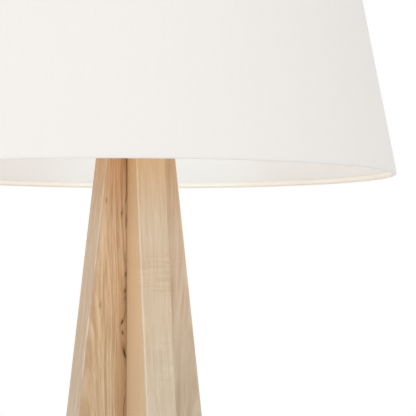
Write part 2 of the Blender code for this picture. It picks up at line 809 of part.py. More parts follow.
def make_spider(arm_angles, ring_z, washer_low):
    """Upper ring, three arms and washer, welded in one."""
    arm_wire = 0.0013
    washer_bore = 0.0036
    washer_radius = 0.0125
    washer_high = washer_low + WASHER_HEIGHT
    hub_z = washer_low + WASHER_HEIGHT / 2
    ring = wire("upper_ring", ring_path(ring_z), RING_WIRE, WHITE_WIRE, cyclic=True, resolution=1)
    reach = shade_radius(ring_z) - WIRE_DEPTH
    pieces = [ring]
    for angle in arm_angles:
        path = [
            around(angle, 0.0100, hub_z), around(angle, reach - 0.0180, hub_z),
            around(angle, reach - 0.0090, hub_z + 0.0030), around(angle, reach, ring_z),
        ]
        pieces.append(wire("arm", path, arm_wire, WHITE_WIRE, end_scale=0.7))
    washer_outline = tube_profile(washer_bore, washer_radius, washer_low, washer_high)
    pieces.append(turned("washer", washer_outline, WHITE_WIRE, 20, ring=True))
    join_up("spider_fitter", pieces, WHITE_WIRE)


# ---- the lamp ---------------------------------------------------------------

def make_lamp():
    dowel_holes = rods_cutter("dowel_holes", dowel_rods(GAP).values(), 12)
    screw_holes = screw_hole_cutters()
    make_legs(dowel_holes, screw_holes)
    make_foot_pads()
    make_dowels()
    make_post(dowel_holes)
    make_pipe()
    make_top_plate(screw_holes)
    make_screws()
    make_saddle()
    make_socket_cap()
    shaft_z = SOCKET_Z + SHAFT_RISE
    make_socket(shaft_z)
    make_switch(shaft_z)
    make_bulb()
    washer_low = make_harp()
    make_shade(washer_low)
    make_finial(washer_low + WASHER_HEIGHT + GAP)


make_lamp()
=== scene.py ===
"""Looks of the floor lamp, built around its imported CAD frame.

Metres, +Z up, with the lamp's axis on Z. The legs lie along -Y (front), +X (right),
+Y (back) and -X (left). A turned piece is a profile of (radius, z) points.
"""

import math

import bmesh
import bpy
from mathutils import Matrix, Quaternion, Vector
from mathutils.geometry import interpolate_bezier


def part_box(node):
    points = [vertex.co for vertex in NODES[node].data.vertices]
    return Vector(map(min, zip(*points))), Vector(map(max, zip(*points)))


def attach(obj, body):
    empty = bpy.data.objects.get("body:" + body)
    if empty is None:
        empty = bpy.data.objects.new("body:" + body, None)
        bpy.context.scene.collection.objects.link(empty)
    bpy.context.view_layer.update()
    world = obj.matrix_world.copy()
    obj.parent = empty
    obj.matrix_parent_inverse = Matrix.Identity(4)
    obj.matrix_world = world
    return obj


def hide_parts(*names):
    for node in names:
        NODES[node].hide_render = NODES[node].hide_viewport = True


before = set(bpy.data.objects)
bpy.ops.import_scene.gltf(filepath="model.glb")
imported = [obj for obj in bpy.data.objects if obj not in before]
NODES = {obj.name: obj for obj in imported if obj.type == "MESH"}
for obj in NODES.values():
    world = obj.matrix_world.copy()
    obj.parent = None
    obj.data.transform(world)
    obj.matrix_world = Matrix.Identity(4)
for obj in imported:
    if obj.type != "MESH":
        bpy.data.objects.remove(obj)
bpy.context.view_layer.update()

# Driving dimensions, as in the CAD
GAP = 0.0003                        # left between pieces that touch
SHADE_SLOPE = math.tan(math.radians(11.0))
FABRIC = 0.0005
LINER = 0.0010
RING_WIRE = 0.0011
HEM = 0.0058                        # height of cloth turned in at each edge
HEM_BEND = 0.0048                   # height at which it leaves the wire
HEM_CUT = 0.0108                    # the same cloth measured flat, round its fold
LEG_THICKNESS = 0.030
LEG_REACH_AT_RIM = 0.0376
LEG_FLARE = 0.118
LEG_ANGLES = {
    "right": 0.0,
    "back": math.pi / 2,
    "left": math.pi,
    "front": -math.pi / 2,
}

# Places taken from the frame
RIM_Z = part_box("shade_fabric")[0].z
SHADE_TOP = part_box("shade_fabric")[1].z
SHADE_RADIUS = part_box("shade_fabric")[1].x
LEG_INNER = LEG_THICKNESS / 2 + GAP
SOCKET_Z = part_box("socket_cap")[0].z
BULB_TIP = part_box("bulb_contact")[0].z
SHAFT_Z = (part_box("switch_shaft")[0].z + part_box("switch_shaft")[1].z) / 2

UP = Vector((0.0, 0.0, 1.0))
IN_PLACE = Matrix.Identity(4)       # a place that moves nothing


# ---- material nodes ---------------------------------------------------------

class Value:
    """A number that a material's nodes work out, so that formulas read as formulas."""

    def __init__(self, paint, socket):
        self.paint = paint
        self.socket = socket

    def __add__(self, other):
        return self.paint.math("ADD", self, other)

    def __sub__(self, other):
        return self.paint.math("SUBTRACT", self, other)

    def __rsub__(self, other):
        return self.paint.math("SUBTRACT", other, self)

    def __mul__(self, other):
        return self.paint.math("MULTIPLY", self, other)

    def __truediv__(self, other):
        return self.paint.math("DIVIDE", self, other)

    def __pow__(self, other):
        return self.paint.math("POWER", self, other)

    __radd__ = __add__
    __rmul__ = __mul__


class Paint:
    """One material. Its methods add nodes and return Values or sockets."""

    def __init__(self, name, **constants):
        self.material = bpy.data.materials.new(name)
        self.material.use_nodes = True
        self.nodes = self.material.node_tree.nodes
        self.shader = self.nodes["Principled BSDF"]
        for socket, value in constants.items():
            self.shader.inputs[socket.replace("_", " ")].default_value = value
        place = self.add("ShaderNodeTexCoord")
        self.place = place.outputs["Object"]
        split = self.add("ShaderNodeSeparateXYZ")
        self.join(self.place, split.inputs[0])
        self.x, self.y, self.z = (Value(self, socket) for socket in split.outputs)

    def add(self, kind, **settings):
        node = self.nodes.new(kind)
        for key, value in settings.items():
            setattr(node, key, value)
        return node

    def join(self, source, target):
        if isinstance(source, Value):
            source = source.socket
        if isinstance(source, bpy.types.NodeSocket):
            self.material.node_tree.links.new(source, target)
        elif isinstance(source, tuple) and len(source) == 3 and target.type == "RGBA":
            target.default_value = (*source, 1.0)
        else:
            target.default_value = source

    def math(self, operation, first, second=0.0):
        node = self.add("ShaderNodeMath", operation=operation)
        self.join(first, node.inputs[0])
        self.join(second, node.inputs[1])
        return Value(self, node.outputs[0])

    def smooth(self, value, start, end):
        """0 before start, 1 after end, with a soft step between."""
        node = self.add("ShaderNodeMapRange", interpolation_type="SMOOTHSTEP")
        for source, target in zip((value, start, end, 0.0, 1.0), node.inputs):
            self.join(source, target)
        return Value(self, node.outputs[0])

    def vector(self, x, y, z):
        node = self.add("ShaderNodeCombineXYZ")
        for source, target in zip((x, y, z), node.inputs):
            self.join(source, target)
        return node.outputs[0]

    def noise(self, vector, scale=1.0, detail=2.0, roughness=0.5, distortion=0.0):
        node = self.add("ShaderNodeTexNoise")
        self.join(vector, node.inputs["Vector"])
        node.inputs["Scale"].default_value = scale
        node.inputs["Detail"].default_value = detail
        node.inputs["Roughness"].default_value = roughness
        node.inputs["Distortion"].default_value = distortion
        return Value(self, node.outputs[0])

    def mix(self, share, first, second, blend="MIX"):
        node = self.add("ShaderNodeMix", data_type="RGBA", blend_type=blend, clamp_factor=True)
        self.join(share, node.inputs[0])
        self.join(first, node.inputs[6])
        self.join(second, node.inputs[7])
        return node.outputs[2]

    def bump(self, height, depth):
        """Bump whose height of 1 stands depth metres proud."""
        node = self.add("ShaderNodeBump")
        node.inputs["Distance"].default_value = depth
        self.join(height, node.inputs["Height"])
        self.join(node.outputs[0], self.shader.inputs["Normal"])

    def finish(self, colour, roughness):
        self.join(colour, self.shader.inputs["Base Color"])
        self.join(roughness, self.shader.inputs["Roughness"])
        return self.material


# ---- materials --------------------------------------------------------------

# Painted light on the legs: a warm tint for light bounced from under the shade near their tops, and
# a grey tint for cooler light lower down
SAP_PAINTED_WARM_LIGHT = (1.02, 0.81, 0.60)
PAINTED_COOL_LIGHT_LOW = (0.90, 0.945, 0.99)
# The dark line of the inner corner's crack, which near the top is also painted shade in that corner
CRACK_AND_CORNER_SHADE = (0.26, 0.12, 0.045)
KNOT_HALO = (0.36, 0.185, 0.075)
KNOT_CORE = (0.085, 0.036, 0.014)
THREADS = 900.0                     # in one metre of cloth


class LegPaint(Paint):
    """Paint for one leg's wood. It knows a point's reach out from the lamp's axis, its
    place across the board, and where the grain's lines run. Heights are above the floor."""

    def __init__(self, side, seed):
        super().__init__("wood_" + side, Specular_IOR_Level=0.30)
        angle = LEG_ANGLES[side]
        self.seed = seed
        self.reach = self.x * math.cos(angle) + self.y * math.sin(angle)
        self.across = self.y * math.cos(angle) - self.x * math.sin(angle)
        self.edge = LEG_REACH_AT_RIM + LEG_FLARE * (RIM_Z - self.z)
        share = (self.reach - LEG_INNER) / (self.edge - LEG_INNER)
        # Grain lines are upright by the inner corner and lean out near the tapered edge
        corner_drift = 0.0050
        edge_flare = LEG_FLARE * 0.65
        by_corner = (1.0 - share) * self.smooth(self.z, 1.20, 1.06) * corner_drift
        by_edge = (RIM_Z - self.z) * share * share * share * edge_flare
        self.lean = self.reach + by_corner - by_edge

    def along_grain(self, cross, along, detail=2.0, roughness=0.5):
        """Noise stretched along the grain, of so many waves a metre across and along it."""
        where = self.vector(self.lean * cross, self.across * cross, self.z * along + self.seed)
        return self.noise(where, 1.0, detail, roughness)


def leg_wood(side, look):
    """Solid wood for one leg, with its grain along the leg."""
    paint = LegPaint(side, look["seed"])
    wander = paint.along_grain(22, 5)
    fibre = paint.smooth(paint.along_grain(620, 26, 2.0, 0.6), 0.30, 0.70) - 0.5
    streak = paint.smooth(paint.along_grain(300, 12, 3.0, 0.6), 0.30, 0.70) - 0.5
    patch = paint.along_grain(34, 9, 3.0, 0.55) - 0.5
    pores = paint.smooth(paint.along_grain(1800, 90, 1.0), 0.62, 0.74)
    from_curl = paint.math("ABSOLUTE", paint.z - look["curl_height"])
    curl_place = paint.smooth(from_curl, 0.028, 0.010)
    curl_zone = paint.smooth(paint.along_grain(8, 13, 1.0) + curl_place * 0.30, 0.60, 0.76)
    curl = (paint.along_grain(30, 270) - 0.5) * curl_zone
    fine = streak * look["streaks"] + fibre * look["fibres"] + curl * look["curl"]

    colour = add_years(paint, look, wander, fine, patch)
    colour = add_heart(paint, look, colour, wander, streak)
    sap_darkness = 0.45 + fine * look["sap_figure"] + patch * 0.6
    sap_darkness = sap_darkness + curl_place * look["curl"] * 0.22
    sapwood = paint.mix(sap_darkness, look["sap"], look["sap_dark"])
    sap = paint.smooth(paint.edge - paint.reach, 0.0042, 0.0012) * look["sap_share"]
    colour = paint.mix(sap, colour, sapwood)
    # Paler flecks on one rounded corner: sanded wear and a painted highlight
    colour = add_wear_and_highlight(paint, look, colour)
    colour = paint.mix(pores * 0.22, colour, look["dark"])

    # Painted light: the boards are tinted a warmer brown towards their tops for warm light bounced
    # down from under the shade, and greyer lower down for cooler light there
    painted_warm_share = paint.smooth(paint.z + patch * 0.03, 1.142, 1.228)
    painted_warm_light = paint.mix(sap, look["painted_warm_light"], SAP_PAINTED_WARM_LIGHT)
    colour = paint.mix(painted_warm_share, colour, painted_warm_light, "MULTIPLY")
    colour = paint.mix(paint.smooth(paint.z, 1.13, 0.97), colour, PAINTED_COOL_LIGHT_LOW, "MULTIPLY")

    paint.bump(fibre * 0.4 + streak * 0.3 - pores * 0.5, 0.00006)
    return paint.finish(colour, 0.48 + streak * 0.10 + pores * 0.1)


def add_years(paint, look, wander, fine, patch):
    """Yearly lines: a narrow pale crest, then wood that darkens up to the next one."""
    drift = (wander - 0.5) * look["figure"] + (paint.along_grain(120, 16) - 0.5) * 0.0016
    years = (paint.lean + paint.across * look["tilt"] + drift) / look["ring"]
    year = paint.math("FRACT", years)
    late = paint.smooth(year, 0.35, 1.0) * paint.smooth(year, 0.0, 0.06)
    strength = paint.smooth(paint.along_grain(70, 6), 0.36, 0.62)
    strength = strength * (0.55 + paint.smooth(paint.z, 0.75, 1.0) * 0.45)
    between = pale_line(paint, years + 0.55) * paint.smooth(paint.z, 1.08, 1.04)
    crest = pale_line(paint, years) + between
    darkness = 0.42 + late * strength * look["rings"] + fine + patch * look["patches"]
    colour = paint.mix(darkness, look["pale"], look["dark"])
    return paint.mix(crest * strength * look["crests"], colour, look["crest"])


def pale_line(paint, years):
    """A narrow line once a year."""
    year = paint.math("FRACT", years)
    return paint.smooth(year, 0.00, 0.08) * paint.smooth(year, 0.26, 0.10)


def add_heart(paint, look, colour, wander, streak):
    """Brown heartwood along the inner corner, where the knots lie in a fine crack. The crack's dark
    line is kept unbroken near the top, where it is partly painted shade in the corner under the
    shade.
    """
    from_corner = paint.reach - LEG_INNER
    heart_edge = from_corner + (wander - 0.5) * 0.012 + streak * 0.0015
    heart = paint.smooth(heart_edge, look["heart_width"], 0.0)
    heart = heart * (0.35 + paint.smooth(paint.z, 1.115, 1.065) * 0.65)
    colour = paint.mix(heart * look["heart_depth"], colour, look["heart_colour"])
    if look["knots"]:
        # Near the top the crack runs closer to the corner and less broken: painted shade in the
        # corner under the shade
        top = paint.smooth(paint.z, 1.168, 1.184)
        drift = ((paint.along_grain(10, 26) - 0.5) * 0.0050 - 0.0012) * (1.0 - top * 0.75)
        crack_and_corner_shade = paint.smooth(paint.math("ABSOLUTE", from_corner + drift), 0.0010, 0.0002)
        on_face = paint.smooth(paint.across, LEG_THICKNESS * 0.1, LEG_THICKNESS * 0.4)
        broken = paint.smooth(paint.along_grain(20, 34) + top * 0.3, 0.38, 0.60)
        colour = paint.mix(crack_and_corner_shade * broken * on_face * 0.75, colour, CRACK_AND_CORNER_SHADE)
    for knot in look["knots"]:
        colour = add_knot(paint, colour, knot)
    return colour


def add_knot(paint, colour, knot):
    """A dark ellipsoid with a brown halo, long in the grain's direction. The knot holds
    its reach, height, half width, half length, lean and depth of colour."""
    at_reach, at_height, width, length, lean, depth = knot
    above = paint.z - at_height
    away = (paint.reach - at_reach + above * lean) / width
    away_across = (paint.across - LEG_THICKNESS / 2) / (width * 5)
    away_height = above / length
    distance = (away * away + away_across * away_across + away_height * away_height) ** 0.5
    colour = paint.mix(paint.smooth(distance, 3.6, 0.8) * 0.55 * depth, colour, KNOT_HALO)
    return paint.mix(paint.smooth(distance, 1.45, 0.4) * depth, colour, KNOT_CORE)


def add_wear_and_highlight(paint, look, colour):
    """One rounded outer corner is painted paler in long flecks: partly sanded wear, partly a
    painted highlight where light catches the rounded edge.
    """
    corner = paint.smooth(paint.across * look["wear_and_highlight_side"], 0.0131, 0.0146)
    gaps = look["wear_and_highlight_gaps"]
    flecks = paint.smooth(paint.along_grain(60, 26), gaps, gaps + 0.16)
    wear_and_highlight = corner * paint.smooth(paint.edge - paint.reach, 0.0013, 0.0003) * flecks
    return paint.mix(wear_and_highlight * look["wear_and_highlight_share"], colour, look["wear_and_highlight"])


def plain_wood(name, pale, dark, along_z=True):
    """Inner wood that is only sawn and drilled."""
    paint = Paint(name, Specular_IOR_Level=0.3)
    up = paint.z * (14.0 if along_z else 600.0)
    grain = paint.noise(paint.vector(paint.x * 600, paint.y * 600, up), 1.0, 3.0, 0.6)
    rings = paint.noise(paint.vector(paint.x * 90, paint.y * 90, up / 8), 1.0, 2.0)
    colour = paint.mix(grain * 0.6 + rings * 0.5, pale, dark)
    paint.bump(grain, 0.0002)
    return paint.finish(colour, 0.62 + (grain - 0.5) * 0.2)


def metal(name, colour, dull, roughness, brush=(60, 60, 1400)):
    """Metal with fine tool marks, finer along one axis, and dull patches."""
    paint = Paint(name, Metallic=1.0, Specular_IOR_Level=0.5)
    brushed = paint.vector(paint.x * brush[0], paint.y * brush[1], paint.z * brush[2])
    marks = paint.noise(brushed, 1.0, 3.0, 0.65)
    cloud = paint.noise(paint.place, 90.0, 4.0, 0.6)
    spots = paint.smooth(paint.noise(paint.place, 700.0, 2.0), 0.62, 0.75)
    tint = paint.mix(paint.smooth(cloud, 0.35, 0.75) * 0.5 + spots * 0.15, colour, dull)
    paint.bump(marks, 0.00004)
    return paint.finish(tint, roughness + (marks - 0.5) * 0.18 + (cloud - 0.5) * 0.16)


def moulded(name, colour, wear, roughness, grain=1200.0):
    """Moulded plastic or phenolic: a fine pebble, with worn high spots."""
    paint = Paint(name, Specular_IOR_Level=0.5)
    pebble = paint.noise(paint.place, grain, 2.0, 0.5)
    cloud = paint.noise(paint.place, 140.0, 4.0, 0.6)
    tint = paint.mix(paint.smooth(cloud, 0.4, 0.8) * 0.6 + pebble * 0.15, colour, wear)
    paint.bump(pebble, 0.00005)
    return paint.finish(tint, roughness + (cloud - 0.5) * 0.2)


def felt():
    """Matt brown felt with a fine fluff."""
    paint = Paint("felt", Sheen_Weight=0.5, Sheen_Roughness=0.6, Specular_IOR_Level=0.1)
    fluff = paint.noise(paint.place, 900.0, 4.0, 0.75, 1.5)
    flock = paint.noise(paint.place, 160.0, 3.0, 0.6)
    colour = paint.mix(fluff * 0.7 + flock * 0.4, (0.10, 0.085, 0.07), (0.30, 0.26, 0.21))
    paint.bump(fluff + flock * 0.6, 0.0006)
    return paint.finish(colour, 0.92 + (fluff - 0.5) * 0.1)


def woven(name, colour, shadow):
    """Plain-woven cloth on a turned wall: threads run round it and up it."""
    paint = Paint(name, Sheen_Weight=0.12, Sheen_Roughness=0.5, Specular_IOR_Level=0.15)
    turn = paint.math("ARCTAN2", paint.y, paint.x)
    slub = paint.noise(paint.vector(turn * 40, turn * 13, paint.z * 900), 1.0, 2.0)
    slub_up = paint.noise(paint.vector(turn * 220, turn * 60, paint.z * 24), 1.0, 2.0)
    weft = paint.math("SINE", paint.z * (math.tau * THREADS))
    warp = paint.math("SINE", turn * (SHADE_RADIUS * math.tau * THREADS))
    weave = weft * warp * 0.5 + 0.5
    cloud = paint.noise(paint.place, 7.0, 3.0, 0.5)
    shade = weave * 0.22 + (slub + slub_up - 1.0) * 0.25 + (cloud - 0.5) * 0.2 + 0.04
    tint = paint.mix(shade, colour, shadow)
    paint.bump(weave * 0.6 + (slub + slub_up) * 0.45, 0.00012)
    return paint.finish(tint, 0.88 + (weave - 0.5) * 0.1)


def lining():
    """Stiff white lining: smooth, with a faint orange-peel and handling marks."""
    paint = Paint("styrene_lining", Specular_IOR_Level=0.4)
    peel = paint.noise(paint.place, 420.0, 2.0, 0.5)
    cloud = paint.noise(paint.place, 9.0, 4.0, 0.6)
    marks = paint.smooth(cloud, 0.3, 0.8) * 0.5 + peel * 0.1
    tint = paint.mix(marks, (0.89, 0.885, 0.875), (0.86, 0.85, 0.835))
    paint.bump(peel, 0.00003)
    return paint.finish(tint, 0.5 + (cloud - 0.5) * 0.2)


def frosted():
    """The bulb's white frosted glass."""
    paint = Paint("frosted_glass", Specular_IOR_Level=0.5, Coat_Weight=0.15, Coat_Roughness=0.2)
    frost = paint.noise(paint.place, 1500.0, 2.0, 0.6)
    cloud = paint.noise(paint.place, 45.0, 3.0, 0.5)
    tint = paint.mix(cloud * 0.6 + frost * 0.2, (0.93, 0.93, 0.92), (0.84, 0.84, 0.83))
    paint.bump(frost, 0.00004)
    return paint.finish(tint, 0.34 + (frost - 0.5) * 0.15)


# A leg's look. Widths and heights are in metres, shares and strengths from 0 to about 1.
PLAIN_LOOK = {
    "pale": (0.80, 0.65, 0.485), "dark": (0.65, 0.48, 0.325), "crest": (0.84, 0.70, 0.53),
    "ring": 0.0062, "tilt": 0.35, "figure": 0.014, "rings": 0.45, "crests": 0.45,
    "streaks": 0.5, "fibres": 0.6, "patches": 0.6, "curl": 0.8, "curl_height": 1.108,
    "heart_width": 0.004, "heart_depth": 0.4, "heart_colour": (0.62, 0.43, 0.26), "knots": [],
    "sap": (0.80, 0.65, 0.49), "sap_dark": (0.64, 0.50, 0.35), "sap_share": 0.85,
    "sap_figure": 1.0, "painted_warm_light": (0.88, 0.71, 0.56), "seed": 0.0,
    "wear_and_highlight": (0.82, 0.70, 0.54), "wear_and_highlight_share": 0.3, "wear_and_highlight_side": 1, "wear_and_highlight_gaps": 0.20,
}
LEFT_LOOK = PLAIN_LOOK | {
    "pale": (0.83, 0.60, 0.385), "dark": (0.61, 0.39, 0.215), "crest": (0.86, 0.68, 0.48),
    "ring": 0.0048, "figure": 0.009, "rings": 0.28, "crests": 0.8,
    "streaks": 0.65, "fibres": 0.85, "patches": 0.7, "curl": 0.3,
    "heart_width": 0.0165, "heart_depth": 0.9, "heart_colour": (0.53, 0.30, 0.135),
    "sap": (0.685, 0.52, 0.378), "sap_dark": (0.565, 0.41, 0.274), "sap_figure": 0.8,
    "wear_and_highlight": (0.86, 0.70, 0.51), "wear_and_highlight_share": 0.9, "wear_and_highlight_gaps": 0.44, "seed": 3.1,
    "knots": [
        (0.0363, 1.1753, 0.0007, 0.0016, 0.00, 0.42),
        (0.0204, 1.1631, 0.0006, 0.0022, 0.15, 0.65),
        (0.0160, 1.1054, 0.0007, 0.0024, 0.15, 0.75),
        (0.0167, 1.0898, 0.0008, 0.0022, 0.15, 0.85),
        (0.0168, 1.0825, 0.0006, 0.0024, 0.10, 0.65),
        (0.0421, 1.0762, 0.0007, 0.0022, 0.00, 0.36),
        (0.0197, 1.0602, 0.0008, 0.0024, 0.35, 1.00),
        (0.0191, 1.0501, 0.0008, 0.0015, -0.20, 0.90),
        (0.0172, 1.0311, 0.0010, 0.0052, -0.24, 1.00),
    ],
}
FRONT_LOOK = PLAIN_LOOK | {
    "pale": (0.815, 0.595, 0.38), "dark": (0.725, 0.49, 0.275), "painted_warm_light": (0.96, 0.86, 0.73),
    "figure": 0.006, "rings": 0.06, "crests": 0.1, "streaks": 0.15, "fibres": 0.24,
    "patches": 0.12, "curl": 0.9, "heart_depth": 0.0, "seed": 6.8,
    "sap": (0.81, 0.665, 0.50), "sap_dark": (0.64, 0.495, 0.34), "sap_figure": 1.7,
    "wear_and_highlight": (0.88, 0.735, 0.57), "wear_and_highlight_share": 0.8, "wear_and_highlight_side": -1,
}
RIGHT_LOOK = PLAIN_LOOK | {
    "rings": 0.3, "crests": 0.25, "curl": 0.3, "wear_and_highlight_share": 0.0, "seed": 12.4,
}
BACK_LOOK = PLAIN_LOOK | {"figure": 0.020, "crests": 0.8, "seed": 21.9}

WOODS = {
    "left": leg_wood("left", LEFT_LOOK),
    "front": leg_wood("front", FRONT_LOOK),
    "right": leg_wood("right", RIGHT_LOOK),
    "back": leg_wood("back", BACK_LOOK),
}
CORE_WOOD = plain_wood("core_wood", (0.62, 0.44, 0.27), (0.42, 0.27, 0.14))
DOWEL_WOOD = plain_wood("dowel_wood", (0.70, 0.55, 0.37), (0.52, 0.36, 0.21), along_z=False)
FELT = felt()
STEEL = metal("zinc_steel", (0.66, 0.66, 0.65), (0.48, 0.47, 0.45), 0.36)
NICKEL = metal("satin_nickel", (0.70, 0.67, 0.62), (0.55, 0.52, 0.47), 0.30)
BRASS = metal("brass", (0.78, 0.58, 0.28), (0.55, 0.38, 0.16), 0.30)
ALUMINIUM = metal("aluminium", (0.82, 0.82, 0.82), (0.62, 0.62, 0.62), 0.36)
SOLDER = metal("solder", (0.62, 0.62, 0.60), (0.42, 0.42, 0.41), 0.40, (300, 300, 300))
PHENOLIC = moulded("phenolic", (0.030, 0.024, 0.019), (0.065, 0.050, 0.038), 0.42)
FIBRE = moulded("fibre_board", (0.46, 0.35, 0.22), (0.32, 0.23, 0.13), 0.85, 500.0)
BLACK_PLASTIC = moulded("black_plastic", (0.018, 0.018, 0.018), (0.050, 0.048, 0.045), 0.38)
BLACK_GLASS = moulded("black_glass", (0.015, 0.015, 0.022), (0.035, 0.035, 0.045), 0.15, 500.0)
WHITE_WIRE = moulded("white_wire", (0.84, 0.83, 0.81), (0.70, 0.68, 0.65), 0.42, 800.0)
CLOTH = woven("white_cloth", (0.92, 0.90, 0.875), (0.82, 0.795, 0.76))
HEM_CLOTH = woven("hem_cloth", (0.955, 0.925, 0.845), (0.93, 0.89, 0.79))
LINING = lining()
FROSTED = frosted()


# ---- meshes -----------------------------------------------------------------

SHARP = math.radians(38.0)          # a steeper edge than this isn't smoothed over


def add_object(name, data):
    thing = bpy.data.objects.new(name, data)
    bpy.context.scene.collection.objects.link(thing)
    return thing


def add_piece(name, mesh, material, slot, body, *nodes):
    """A new piece that stands for CAD nodes and moves with a CAD body."""
    piece = add_object(name, mesh)
    if not mesh.materials:
        mesh.materials.append(material)
    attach(piece, body)
    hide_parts(*nodes)
    return piece


def smooth_mesh(bm, name):
    bmesh.ops.recalc_face_normals(bm, faces=bm.faces)
    mesh = bpy.data.meshes.new(name)
    bm.to_mesh(mesh)
    bm.free()
    mesh.shade_smooth()
    mesh.set_sharp_from_angle(angle=SHARP)
    return mesh


def circle(bm, radius, z, segments, place=IN_PLACE):
    """The vertices of a level circle, or the one vertex of a circle with no radius."""
    if radius < 1e-7:
        return [bm.verts.new(place @ Vector((0.0, 0.0, z)))]
    verts = []
    for step in range(segments):
        turn = math.tau * step / segments
        point = Vector((radius * math.cos(turn), radius * math.sin(turn), z))
        verts.append(bm.verts.new(place @ point))
    return verts


def bridge(bm, rings, closed=False):
    """Faces from each ring of vertices to the next, and from the last to the first if closed."""
    pairs = list(zip(rings, rings[1:]))
    if closed:
        pairs.append((rings[-1], rings[0]))
    for first, second in pairs:
        segments = max(len(first), len(second))
        for step in range(segments):
            after = (step + 1) % segments
            corners = [first[step % len(first)], first[after % len(first)],
                       second[after % len(second)], second[step % len(second)]]
            face = list(dict.fromkeys(corners))
            if len(face) > 2:
                bm.faces.new(face)


def turn_profile(bm, profile, segments, closed=False, place=IN_PLACE):
    """Turns a profile about Z into bm."""
    rings = [circle(bm, radius, z, segments, place) for radius, z in profile]
    bridge(bm, rings, closed)


def turned(name, profile, segments, closed=False, place=IN_PLACE):
    bm = bmesh.new()
    turn_profile(bm, profile, segments, closed, place)
    return smooth_mesh(bm, name)


def soften(points, radius, steps=3, closed=False):
    """The same outline with each corner rounded, as far as its neighbours allow."""
    count = len(points)
    rounded = []
    for index, point in enumerate(points):
        if not closed and index in (0, count - 1):
            rounded.append(tuple(point))
            continue
        here = Vector(point)
        before = Vector(points[index - 1]) - here
        after = Vector(points[(index + 1) % count]) - here
        reach = min(radius, before.length * 0.45, after.length * 0.45)
        start = here + before.normalized() * reach
        end = here + after.normalized() * reach
        for step in range(steps + 1):
            part = step / steps
            one = start.lerp(here, part)
            two = here.lerp(end, part)
            rounded.append(tuple(one.lerp(two, part)))
    return rounded


def rod(bm, path, radius, segments=16, closed=False, tip_radius=None):
    """A round wire along a path, added to bm. An open one may be thinner at its end."""
    points = [Vector(point) for point in path]
    count = len(points)
    rings = []
    side = None
    for index, point in enumerate(points):
        before = points[index - 1] if closed or index else point
        after = points[(index + 1) % count] if closed or index < count - 1 else point
        along = (after - before).normalized()
        if side is None:
            side = along.orthogonal().normalized()
        side = (side - along * side.dot(along)).normalized()
        other = along.cross(side)
        size = radius
        if tip_radius is not None and index == count - 1:
            size = tip_radius
        verts = []
        for step in range(segments):
            turn = math.tau * step / segments
            out = side * math.cos(turn) + other * math.sin(turn)
            verts.append(bm.verts.new(point + out * size))
        rings.append(verts)
    bridge(bm, rings, closed)
    if not closed:
        bm.faces.new(rings[0])
        bm.faces.new(rings[-1])


# ---- shade ------------------------------------------------------------------

SHADE_COLUMNS = 240
SEAM_ANGLE = math.radians(66.75)        # the lap seam, at the back
LAP_COLUMNS = 2
LAP_RISE = 0.0006
OUT_OF_ROUND = 0.0005
WIRE_DEPTH = FABRIC + GAP + LINER + GAP + RING_WIRE
WIRE_INSET = FABRIC + GAP + RING_WIRE
ARM_ANGLES = [math.pi / 2 + math.tau * arm / 3 for arm in range(3)]


def shade_radius(z):
    """Radius of the shade's outside at a height."""
    return SHADE_RADIUS - SHADE_SLOPE * (z - RIM_Z)


def unevenness(turn, z):
    """How far the wall stands out of round between its two rings."""
    share = math.sin(math.pi * min(max((z - RIM_Z) / (SHADE_TOP - RIM_Z), 0.0), 1.0))
    wave = 0.5 * math.sin(2 * turn + 0.7) + 0.3 * math.sin(5 * turn + 2.1)
    wave += 0.2 * math.sin(9 * turn)
    return OUT_OF_ROUND * share * wave


def edge_line(edge_z, inward):
    """Middle line of the cloth at one edge, from the hem's end, round the wire and out
    to the wall. inward is 1 at the lower edge and -1 at the upper edge."""
    hem_depth = FABRIC + GAP + LINER + GAP + FABRIC / 2
    fold = RING_WIRE + GAP + FABRIC / 2
    line = [(hem_depth, HEM), (hem_depth, (HEM + HEM_BEND) / 2), (hem_depth, HEM_BEND)]
    for degrees in range(40, -91, -13):
        turn = math.radians(degrees)
        line.append((WIRE_DEPTH + fold * math.cos(turn), WIRE_INSET + fold * math.sin(turn)))
    hem_points = len(line) - 2
    roll_depth = 0.0016
    roll_height = 0.0034
    for degrees in range(90, -1, -15):
        turn = math.radians(degrees)
        line.append((FABRIC / 2 + roll_depth * (1 - math.cos(turn)),
                     FABRIC / 2 + roll_height * (1 - math.sin(turn))))
    points = []
    for depth, height in line:
        z = edge_z + inward * height
        points.append((shade_radius(z) - depth, z))
    return points, hem_points


def outward_normals(line):
    """Which way the outside of the cloth faces at each point of its middle line."""
    normals = []
    last = len(line) - 1
    for index in range(len(line)):
        along = Vector(line[min(index + 1, last)]) - Vector(line[max(index - 1, 0)])
        along.normalize()
        normals.append(Vector((-along.y, along.x)))
    return normals


